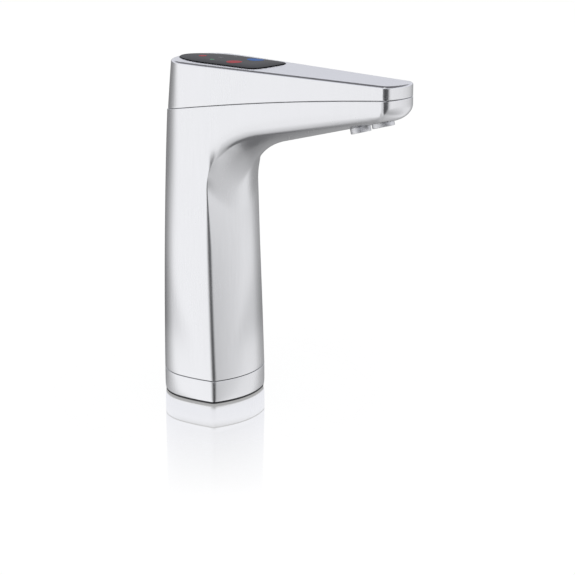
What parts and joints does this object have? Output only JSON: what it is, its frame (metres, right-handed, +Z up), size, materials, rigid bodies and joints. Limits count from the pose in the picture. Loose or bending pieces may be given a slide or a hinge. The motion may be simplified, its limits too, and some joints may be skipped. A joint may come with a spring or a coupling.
{
  "type": "boiling water tap",
  "caption": "Tall tap with a tapering arm, a dark touch panel on its flat top and a small outlet under the tip; it swivels on a post fixed to the worktop.",
  "frame": {"origin": "centre of the base on the worktop, on the axis the spout swivels about", "axes": "+Z up, the spout points towards -Y, +X is the right-hand side seen from the front"},
  "size_m": [0.052, 0.1644, 0.2629],
  "materials": {
    "brushed": "fine satin brushed plating",
    "polished": "polished",
    "steel": "plain machined",
    "brass": "machined",
    "copper": "drawn copper tube",
    "rubber": "matt black",
    "black_gloss": "high gloss",
    "white_plastic": "natural acetal",
    "grey_plastic": "matt",
    "board": "lacquered circuit board",
    "red": "printed inlay",
    "blue": "printed inlay",
    "green": "small light window"
  },
  "bodies": {
    "deck": {"base_seal": "rubber", "base_ring": "brushed", "swivel_post": "brass", "threaded_shank": "brass", "thrust_washer": "steel", "post_circlip": "steel"},
    "spout": {"column_body": "brushed", "lower_bush": "white_plastic", "friction_ring": "rubber", "upper_bush": "white_plastic", "stop_pin": "steel", "top_cover": "brushed", "cover_screw": "steel", "panel_gasket": "rubber", "touch_panel": "black_gloss", "boil_mark": "red", "chill_mark": "blue", "lock_mark": "red", "ready_light": "green", "touch_board": "board", "board_socket": "grey_plastic", "signal_lead": "grey_plastic", "boiling_tube": "copper", "chilled_tube": "steel", "outlet_block": "brass", "outlet_seal": "rubber", "outlet_plate": "polished", "outlet_collar": "polished", "flow_insert": "white_plastic"},
    "clamp": {"rubber_washer": "rubber", "clamp_washer": "steel"},
    "nut": {"fixing_nut": "brass"}
  },
  "joints": [
    {"name": "spout_swivel", "type": "hinge", "parent": "deck", "child": "spout", "pos_m": [0, 0, 0.014], "axis": [0, 0, 1], "range_deg": [-90, 90]},
    {"name": "clamp_slide", "type": "slide", "parent": "deck", "child": "clamp", "axis": [0, 0, 1], "range_m": [-0.021, 0]},
    {"name": "nut_turn", "type": "hinge", "parent": "clamp", "child": "nut", "pos_m": [0, 0, -0.03], "axis": [0, 0, 1], "range_deg": [-180, 180]}
  ]
}
